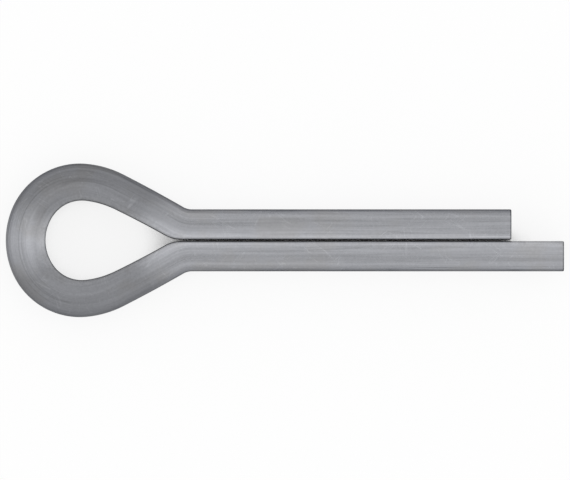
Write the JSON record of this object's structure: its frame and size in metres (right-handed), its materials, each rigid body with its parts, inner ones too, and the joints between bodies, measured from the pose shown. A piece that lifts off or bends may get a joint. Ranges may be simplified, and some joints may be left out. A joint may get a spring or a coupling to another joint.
{
  "type": "cotter pin",
  "caption": "Split pin bent from half-round wire, with an open teardrop eye and straight legs of unequal length that close into a round shank.",
  "frame": {"origin": "on the shank's axis at the shoulder, where the shank leaves the eye", "axes": "+X along the shank towards the cut ends of the legs, +Y across the eye towards the short leg's side, +Z square to the eye's plane; the pin lies flat in the XY plane"},
  "size_m": [0.0414, 0.0114, 0.0046],
  "materials": {
    "plated_steel": "satin grey zinc-plated drawn steel wire, with cropped leg ends"
  },
  "bodies": {
    "root": {"cotter_pin": "plated_steel"}
  },
  "joints": []
}
